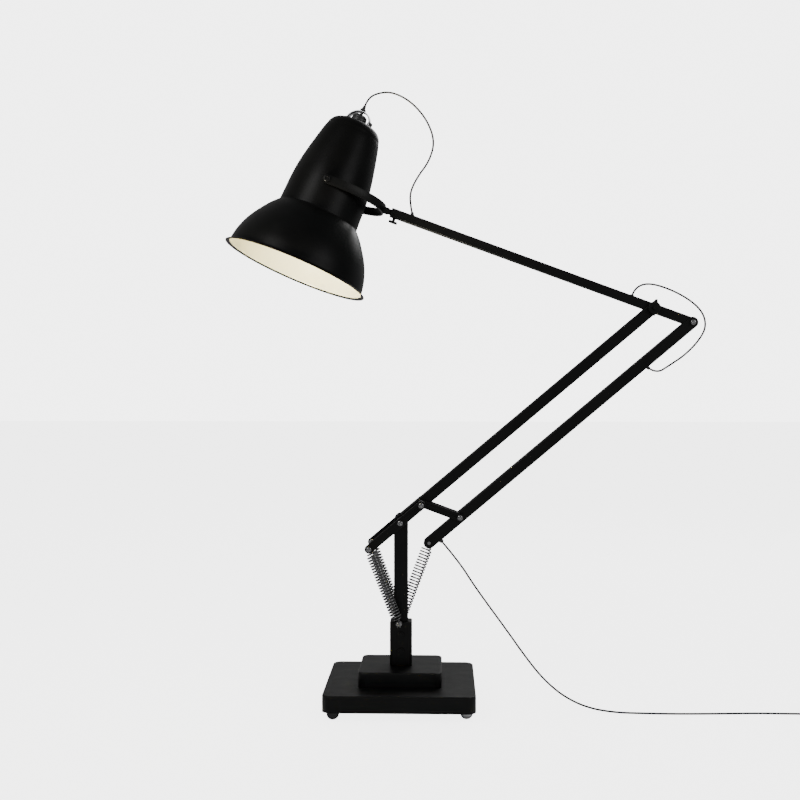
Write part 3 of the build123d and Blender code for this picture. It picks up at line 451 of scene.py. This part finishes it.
head_route = [GLAND_TOP, GLAND_TOP + SHADE_UP * 0.025, (-0.076, 0.030, 1.867), (-0.030, 0.026, 1.871),
              (0.027, 0.020, 1.842), (0.077, 0.015, 1.786), (0.103, 0.010, 1.717), (0.086, 0.007, 1.656),
              (0.050, 0.004, 1.608), (0.028, 0.001, 1.563), HEAD_END + HEAD_GLAND * GLAND_RUN, HEAD_END]
elbow_route = [ELBOW_START, arm_top(ELBOW_EXIT, 0.039), (0.745, 0, 1.284), (0.800, 0, 1.271),
               (0.866, 0, 1.239), (0.913, 0, 1.198), (0.925, 0, 1.150), (0.898, 0, 1.104),
               (0.858, 0, 1.064), (0.813, 0, 1.034), ELBOW_END + GLAND_AXIS * GLAND_RUN, ELBOW_END]
mains_route = [MAINS_START, under_bar(MAINS_EXIT, 0.104), (0.223, -0.020, 0.365),
               (0.274, -0.031, 0.296), (0.325, -0.043, 0.228), (0.374, -0.056, 0.160),
               (0.425, -0.069, 0.097), (0.485, -0.082, 0.046), (0.556, -0.095, 0.014),
               (0.636, -0.107, FLOOR_Z), (0.720, -0.114, FLOOR_Z), (0.806, -0.117, FLOOR_Z),
               (0.892, -0.114, FLOOR_Z), (0.978, -0.108, FLOOR_Z), (1.062, -0.102, FLOOR_Z),
               (COIL.x - 0.108, COIL.y - 0.043, FLOOR_Z)]
tail_route = [(COIL.x + 0.043, COIL.y + 0.034, 0.0215), (COIL.x + 0.041, COIL.y + 0.072, 0.013),
              (COIL.x + 0.041, COIL.y + 0.092, 0.013)]


def coil_turns():
    """Stacked layers wound anticlockwise. Each one crosses between the outer and the inner radius halfway,
    and climbs to the next layer at its end. The last one is shorter."""
    points = []
    angle = -pi / 2
    height = FLOOR_Z
    for layer, steps in enumerate(LAYER_STEPS):
        start, end = (COIL_OUTER, COIL_INNER) if layer % 2 == 0 else (COIL_INNER, COIL_OUTER)
        last = layer == len(LAYER_STEPS) - 1
        for k in range(steps):
            share = k / (steps - 1)
            r = start + (end - start) * eased((share - 0.42) / 0.16)
            lift = 0.0 if last else LAYER_RISE * clamped((share - 0.88) / 0.12)
            points.append((COIL.x + r * cos(angle), COIL.y + r * sin(angle), height + lift))
            angle += 2 * pi / PER_TURN
        height += LAYER_RISE
    return points


def flex(name, line, *nodes):
    """Round flex along a line, in place of the CAD nodes named."""
    o = tube(name, line, CORD_R, CORD, sides=14)
    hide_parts(*nodes)
    return o


def hold_share(o, line, name, share_at):
    """Vertex group whose weight follows the distance along the line."""
    group = o.vertex_groups.new(name=name)
    sides = len(o.data.vertices) // len(line)
    travelled = 0.0
    for i, p in enumerate(line):
        travelled += (p - line[i - 1]).length if i else 0.0
        group.add(list(range(i * sides, (i + 1) * sides)), share_at(travelled), "REPLACE")


head_line = route_line("head_line", head_route)
elbow_line = route_line("elbow_line", elbow_route)
mains_line = route_line("mains_line", mains_route + coil_turns() + tail_route)
HEAD_LENGTH = length_of(head_line)

GRIPPED = 0.02                      # length that goes rigidly with the first gland
HEAD_REACH = HEAD_LENGTH - 0.05     # length over which the head cable goes over to the arm
LEAD_REACH = 0.62                   # length over which the mains lead comes to rest

head_cable = flex("head_flex", head_line, "head_cable")
hold_share(head_cable, head_line, "arm_end", lambda d: eased((d - GRIPPED) / HEAD_REACH))
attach(head_cable, "shade")

elbow_cable = flex("elbow_flex", elbow_line, "elbow_cable")
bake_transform(elbow_cable)

mains_cable = flex("mains_flex", mains_line, "mains_cable", "mains_coil")
hold_share(mains_cable, mains_line, "lead", lambda d: 1 - eased((d - GRIPPED) / LEAD_REACH))
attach(mains_cable, "base")


# ------------------------------------------------------------------ ends that follow another body
def marker(name, place, body):
    """An empty that rides on a body."""
    o = place_object(name, None)
    o.location = place
    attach(o, body)
    return o


def follower(name, place, held_by, goes_to):
    """An empty that keeps held_by's direction and goes to a point fixed on goes_to."""
    target = marker(name + "_target", place, goes_to)
    end = marker(name + "_end", place, held_by)
    follow = end.constraints.new("COPY_LOCATION")
    follow.target = target
    bpy.context.view_layer.update()
    return end


def hook(o, end, group):
    """Moves the group's points with the empty, each by its own weight."""
    modifier = o.modifiers.new("hook_" + end.name, "HOOK")
    modifier.object = end
    modifier.vertex_group = group
    bpy.context.view_layer.update()
    modifier.matrix_inverse = end.matrix_world.inverted() @ o.matrix_world


# the lead's upper end goes with the rear bar, less and less along its first bends
hook(mains_cable, follower("mains_lead", MAINS_START, "base", "rear_bar"), group="lead")
# the head cable's lower end stays in the arm while the shade tilts and turns
hook(head_cable, marker("head_cable_foot", HEAD_END, "upper_arm"), group="arm_end")


# ------------------------------------------------------------------ springs
SPRING_R = 0.016         # to the middle of the wire, in the coil
SPRING_WIRE = 0.0023     # radius of the wire
EYE_R = 0.0073           # to the middle of the wire, in an end ring
NECK_R = 0.0035          # the narrowest turn, beside a ring
NECK_HEIGHT = 0.0095     # from a ring's centre to the narrowest turn
TAPER = 0.024            # from a ring's centre to the full coil
TURNS = 22.5
END_TURNS = 1.5
TURN_POINTS = 20
RING_POINTS = 26
RING_GAP = 0.03          # share of a ring left open, on each side of the neck
FLARE = 0.8              # how quickly the end turns widen
STILL_SHARE = 0.04       # share of the length at each end that doesn't stretch
TOP_SIDE = 0.062         # from the middle plane to a side spring's top
FOOT_SIDE = 0.042        # from the middle plane to its foot


def spring(name, node, foot, top, goes_to, start_angle):
    """Tension spring drawn out to its length: ring, widening turns, coil, shrinking turns, ring."""
    length = (top - foot).length
    axis = (top - foot).normalized()
    across = Vector((0, 1, 0)).cross(axis).normalized()
    side = axis.cross(across).normalized()
    path = []

    def ring(centre, start, stop):
        for k in range(RING_POINTS):
            a = start + (stop - start) * k / (RING_POINTS - 1)
            path.append(centre + axis * EYE_R * cos(a) + across * EYE_R * sin(a))

    ring(foot, 2 * pi * (1 - RING_GAP), 2 * pi * RING_GAP)
    for k in range(int((TURNS + 2 * END_TURNS) * TURN_POINTS) + 1):
        turn = k / TURN_POINTS
        angle = start_angle + 2 * pi * turn
        if turn < END_TURNS:
            share = turn / END_TURNS
            radius = NECK_R + (SPRING_R - NECK_R) * share ** FLARE
            height = NECK_HEIGHT + (TAPER - NECK_HEIGHT) * share
        elif turn > END_TURNS + TURNS:
            share = (turn - END_TURNS - TURNS) / END_TURNS
            radius = SPRING_R - (SPRING_R - NECK_R) * share ** (1 / FLARE)
            height = length - TAPER + (TAPER - NECK_HEIGHT) * share
        else:
            radius = SPRING_R
            height = TAPER + (length - 2 * TAPER) * (turn - END_TURNS) / TURNS
        path.append(foot + across * radius * cos(angle) + side * radius * sin(angle) + axis * height)
    ring(top, pi + 2 * pi * RING_GAP, pi + 2 * pi * (1 - RING_GAP))

    o = tube(name, path, SPRING_WIRE, WIRE, sides=10)
    group = o.vertex_groups.new(name="stretch")
    for v in o.data.vertices:
        share = (v.co - foot).dot(axis) / length
        group.add([v.index], clamped((share - STILL_SHARE) / (1 - 2 * STILL_SHARE)), "REPLACE")
    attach(o, "upright")
    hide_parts(node)
    hook(o, follower(name, top, "upright", goes_to), group="stretch")


spring("side_spring_near", "spring_near", SPRING_FOOT - Vector((0, FOOT_SIDE, 0)),
       SPRING_TOP - Vector((0, TOP_SIDE, 0)), "lower_arm", start_angle=0.0)
spring("side_spring_far", "spring_far", SPRING_FOOT + Vector((0, FOOT_SIDE, 0)),
       SPRING_TOP + Vector((0, TOP_SIDE, 0)), "lower_arm", start_angle=1.1)
spring("rear_spring", "spring_rear", SPRING_FOOT, REAR_FOOT, "rear_bar", start_angle=2.3)


# ------------------------------------------------------------------ domed screw heads on the pivots
SIDES = ((-1, "near"), (1, "far"))
BUTTON_R, ANCHOR_BUTTON_R, FORK_BUTTON_R = 0.0082, 0.0072, 0.0105
BUTTON_RISE = 0.0028
FORK_PIN_END = 0.1385    # from the shade's axis
# name, place in the middle plane, distance to each side, radius, body
PIVOT_HEADS = [("mast_pivot", MAST_PIVOT, 0.095, BUTTON_R, "lower_arm"),
               ("link_pivot", LINK_TOP, 0.095, BUTTON_R, "lower_arm"),
               ("spring_pin", SPRING_TOP, 0.095, BUTTON_R, "lower_arm"),
               ("tail_pivot", TAIL_PIVOT, 0.023, BUTTON_R, "rear_bar"),
               ("link_end", LINK_END, 0.032, BUTTON_R, "rear_bar"),
               ("anchor", SPRING_FOOT, 0.057, ANCHOR_BUTTON_R, "upright")]


def button_head(name, centre, axis, radius, body, material):
    """Low dome with a round-edged socket, on the end of a pivot."""
    socket = 0.42 * radius
    rise = BUTTON_RISE
    profile = [(0.0, rise * 0.15), (socket * 0.9, rise * 0.15), (socket, rise * 0.3), (socket, rise * 0.94),
               (socket * 1.12, rise), (radius * 0.62, rise * 0.93), (radius * 0.82, rise * 0.72),
               (radius * 0.95, rise * 0.4), (radius, rise * 0.1), (radius, -0.0004), (0.0, -0.0004)]
    o = lathe(name, profile, centre, axis, material, steps=36)
    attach(o, body)


# the pivots' domes use chrome darkened as painted shade, standing in for the dark surroundings they reflect
for name, centre, reach, radius, body in PIVOT_HEADS:
    for way, side_name in SIDES:
        button_head(name + "_head_" + side_name, centre + Vector((0, way * reach, 0)), Vector((0, way, 0)),
                    radius, body, SHADED_CHROME)
for way, side_name in SIDES:
    button_head("fork_head_" + side_name, HEAD + FORK_SIDE * way * FORK_PIN_END, FORK_SIDE * way,
                FORK_BUTTON_R, "fork", BLACK)


# ------------------------------------------------------------------ shade
def rounded_profile(points, steps=5):
    """Catmull-Rom line through (radius, height) points."""
    line = []
    for i in range(len(points) - 1):
        p0 = points[max(i - 1, 0)]
        p1, p2 = points[i], points[i + 1]
        p3 = points[min(i + 2, len(points) - 1)]
        for k in range(steps):
            t = k / steps
            line.append(tuple(
                0.5 * (2 * b + (c - a) * t + (2 * a - 5 * b + 4 * c - d) * t * t
                       + (3 * b - a - 3 * c + d) * t ** 3)
                for a, b, c, d in zip(p0, p1, p2, p3)))
    line.append(points[-1])
    return line


# outlines of (radius, height above the rim)
BELL = [(0.216, 0.006), (0.208, 0.049), (0.189, 0.097), (0.154, 0.151), (0.1265, 0.182)]
NECK = [(0.1265, 0.182), (0.125, 0.212), (0.1215, 0.282), (0.112, 0.346), (0.0926, 0.433),
        (0.0856, 0.456)]
SHADE_TOP = 0.494
SHOULDER = [(0.0856, 0.456), (0.0816, 0.468), (0.073, 0.480), (0.060, 0.4875), (0.044, 0.492),
            (0.030, SHADE_TOP)]
BEAD = [(0.2150, 0.0045), (0.2185, 0.0022), (0.2225, 0.0008), (0.2250, 0.0002), (0.2266, 0.0009),
        (0.2268, 0.0023), (0.2255, 0.0034), (0.2225, 0.0034), (0.2190, 0.0044)]
SHELL = 0.002            # thickness of the sheet
CABLE_HOLE_R = 0.008


def shade():
    """Bell with a rolled bead at its rim, and a separate lining inside it."""
    outer = rounded_profile(BELL)[:-1] + rounded_profile(NECK)[:-1] + rounded_profile(SHOULDER)
    outer.append((CABLE_HOLE_R, SHADE_TOP))
    inner = [BEAD[0]]
    # each point moves in by the sheet's thickness, square to the outline
    for i, p in enumerate(outer[:-1]):
        a, b = outer[max(i - 1, 0)], outer[i + 1]
        n = sqrt((b[0] - a[0]) ** 2 + (b[1] - a[1]) ** 2)
        inner.append((p[0] - SHELL * (b[1] - a[1]) / n, p[1] + SHELL * (b[0] - a[0]) / n))
    inner.append((CABLE_HOLE_R, SHADE_TOP - SHELL))
    bell = lathe("bell_shade", BEAD + outer, RIM, SHADE_UP, SHADE_BLACK, steps=160)
    lining = lathe("shade_lining", inner, RIM, SHADE_UP, WHITE, steps=160)
    for piece in (bell, lining):
        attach(piece, "shade")
    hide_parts("shade_shell")


shade()


def bulb():
    """Frosted globe on a threaded cap."""
    glass = [(0.0130, 0.4120), (0.0135, 0.4060), (0.0160, 0.3980), (0.0225, 0.3850), (0.0285, 0.3700),
             (0.0325, 0.3530), (0.0335, 0.3400), (0.0315, 0.3270), (0.0250, 0.3150), (0.0140, 0.3095),
             (0.0, 0.3080)]
    globe = lathe("bulb_globe", rounded_profile(glass, steps=3), RIM, SHADE_UP, GLASS, steps=48)
    root_r, crest_r, turns, pitch = 0.0124, 0.0131, 7, 0.0036
    thread = []
    for k in range(turns):
        low = 0.4125 + k * pitch
        thread += [(root_r, low), (crest_r, low + 0.001), (crest_r, low + 0.0022), (root_r, low + 0.0032)]
    cap = lathe("bulb_cap", [(0.0, 0.4120)] + thread + [(0.009, 0.4415), (0.0, 0.442)], RIM, SHADE_UP,
                STEEL, steps=48)
    for piece in (globe, cap):
        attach(piece, "shade")
    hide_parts("bulb")


bulb()


# ------------------------------------------------------------------ wing nut's ear
def wing_ear():
    """Flared ear of the elbow's wing nut, leaning a little out of its hub to a rounded tip."""
    root = ELBOW + Vector((0.001, -0.0250, 0.010))
    tip = ELBOW + Vector((0.0065, -0.0262, 0.0262))
    thick_way = Vector((0, 1, 0))
    across = (tip - root).normalized().cross(thick_way).normalized()
    steps, sides = 14, 20
    vertices = []
    for i in range(steps + 1):
        t = i / steps
        cap = sqrt(max(1 - clamped((t - 0.8) / 0.2) ** 2, 0.02))
        width = (0.0105 * (1 - t) ** 1.7 + 0.0034) * cap
        depth = (0.0050 - 0.0018 * t) * cap
        centre = root + (tip - root) * t
        for k in range(sides):
            a = 2 * pi * k / sides
            vertices.append(centre + across * width * cos(a) + thick_way * depth * sin(a))
    o = skinned("wing_ear", vertices, sides, BLACK)
    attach(o, "elbow_knob")


wing_ear()

# ------------------------------------------------------------------ the strap and dome on the shade's cap
BRIDGE_HALF_SPAN, BRIDGE_HEIGHT = 0.0395, 0.0375
BRIDGE_HALF_WIDTH, BRIDGE_HALF_THICK = 0.0100, 0.0022
BRIDGE_TURN = radians(-19)


def squared(value, power):
    """A circle's cosine or sine, pushed outwards to make a rounded rectangle."""
    return (1 if value >= 0 else -1) * abs(value) ** power


def bridge():
    """Broad chrome strap over the cap, turned a little about the shade's axis, on two black feet."""
    side = SHADE_UP.cross(SHADE_OUT).normalized()
    out = SHADE_OUT * cos(BRIDGE_TURN) + side * sin(BRIDGE_TURN)
    across = side * cos(BRIDGE_TURN) - SHADE_OUT * sin(BRIDGE_TURN)
    base = RIM + SHADE_UP * SHADE_TOP
    arch_steps, section_steps = 40, 16
    vertices = []
    for i in range(arch_steps + 1):
        a = pi * i / arch_steps
        centre = base + out * BRIDGE_HALF_SPAN * cos(a) + SHADE_UP * BRIDGE_HEIGHT * sin(a)
        normal = (out * cos(a) / BRIDGE_HALF_SPAN + SHADE_UP * sin(a) / BRIDGE_HEIGHT).normalized()
        for k in range(section_steps):
            b = 2 * pi * k / section_steps
            x = BRIDGE_HALF_WIDTH * squared(cos(b), 0.45)
            z = BRIDGE_HALF_THICK * squared(sin(b), 0.7)
            vertices.append(centre + across * x + normal * z)
    strap = skinned("cap_strap", vertices, section_steps, CHROME)
    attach(strap, "shade")
    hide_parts("cap_bridge")

    foot = [(0.0, -0.004), (0.0085, -0.004), (0.0085, 0.008), (0.0078, 0.0102), (0.0055, 0.0112),
            (0.0, 0.0115)]
    for way, side_name in ((-1, "left"), (1, "right")):
        o = lathe("strap_foot_" + side_name, foot, base + out * way * BRIDGE_HALF_SPAN,
                  SHADE_UP, PLASTIC, steps=32)
        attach(o, "shade")


def cap_dome():
    """Low dome that finishes the lampholder's cap, under the strap."""
    dome = [(0.0, 0.505), (0.0228, 0.505), (0.0228, 0.512), (0.0215, 0.5155), (0.0170, 0.5185),
            (0.0105, 0.5205), (0.0062, 0.5210), (0.0, 0.5210)]
    o = lathe("cap_dome", dome, RIM, SHADE_UP, PLASTIC, steps=64)
    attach(o, "shade")


bridge()
cap_dome()


# ------------------------------------------------------------------ floor and light
def camera_only(tree, others, camera_strength):
    """A strength that only the camera sees, so that the studio stays dark in reflections."""
    path = tree.nodes.new("ShaderNodeLightPath")
    spread = tree.nodes.new("ShaderNodeMapRange")
    spread.inputs["To Min"].default_value = others
    spread.inputs["To Max"].default_value = camera_strength
    tree.links.new(path.outputs["Is Camera Ray"], spread.inputs["Value"])
    return spread.outputs["Result"]


bpy.ops.mesh.primitive_plane_add(size=30, location=(0, 6, -0.0005))
floor = bpy.context.object
floor.name = "studio_floor"
floor_shader = Shader("studio_floor")
floor_shader.link(floor_shader.ramp(floor_shader.noise(scale=0.7), grey(0.86), grey(0.9)), "Base Color")
floor_shader.set(Roughness=0.8, Specular_IOR_Level=0.1, Emission_Color=(1, 1, 1, 1))
floor_shader.link(camera_only(floor_shader.tree, others=0.0, camera_strength=3.9), "Emission Strength")
floor.data.materials.append(floor_shader.material)

world = bpy.data.worlds.new("studio")
bpy.context.scene.world = world
world.use_nodes = True
background = world.node_tree.nodes["Background"]
background.inputs["Color"].default_value = (1, 1, 1, 1)
sky = camera_only(world.node_tree, others=0.30, camera_strength=4.8)
world.node_tree.links.new(sky, background.inputs["Strength"])


def light(name, kind, place, aim, power):
    """A light at a place, turned towards its aim."""
    data = bpy.data.lights.new(name, kind)
    data.energy = power
    o = place_object(name, data)
    o.location = place
    o.rotation_euler = (Vector(aim) - Vector(place)).to_track_quat("-Z", "Y").to_euler()
    return data


def area(name, place, aim, size, power):
    data = light(name, "AREA", place, aim, power)
    data.shape = "DISK"
    data.size = size


def shade_spot():
    """Narrow warm light into the mouth of the shade, clear of the floor."""
    data = light("shade_light", "SPOT", (-1.5, -1.3, 0.35), aim=RIM, power=700)
    data.color = (1.0, 0.93, 0.74)
    data.shadow_soft_size = 0.3
    data.spot_size = radians(26)
    data.spot_blend = 0.4


area("key_light", (-2.6, -3.2, 3.6), aim=(0.1, 0, 0.9), size=2.2, power=90)
area("fill_light", (3.4, -2.8, 2.4), aim=(0.3, 0, 0.8), size=2.6, power=50)
area("rim_light", (1.5, 3.2, 3.4), aim=(0.2, 0, 0.9), size=2.4, power=50)
shade_spot()
